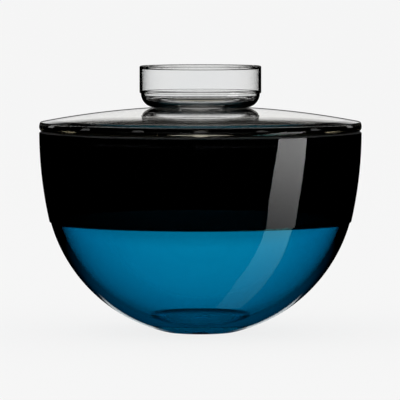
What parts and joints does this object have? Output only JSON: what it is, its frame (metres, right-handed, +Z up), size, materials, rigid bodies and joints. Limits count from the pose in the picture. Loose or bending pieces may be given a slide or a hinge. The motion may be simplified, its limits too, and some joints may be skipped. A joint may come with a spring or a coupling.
{
  "type": "covered glass flower vessel",
  "caption": "Round-bottomed blown glass flower vessel, blue below a black band, with a clear domed cover that lifts off and carries a clear open tube for stems.",
  "frame": {"origin": "centre of the ground foot, on the surface that the vessel stands on", "axes": "+Z up along the vessel's axis of revolution; X and Y are free, because every piece is round"},
  "size_m": [0.2, 0.2, 0.1653],
  "materials": {
    "blue_glass": "polished, translucent",
    "black_glass": "polished, nearly opaque",
    "clear_glass": "polished, clear"
  },
  "bodies": {
    "vessel": {"blue_bowl": "blue_glass", "black_band": "black_glass"},
    "cover": {"clear_cover": "clear_glass", "tube_dish": "clear_glass", "tube_ring": "clear_glass"}
  },
  "joints": [
    {"name": "cover_lift", "type": "slide", "parent": "vessel", "child": "cover", "axis": [0, 0, 1], "range_m": [0, 0.06]}
  ]
}
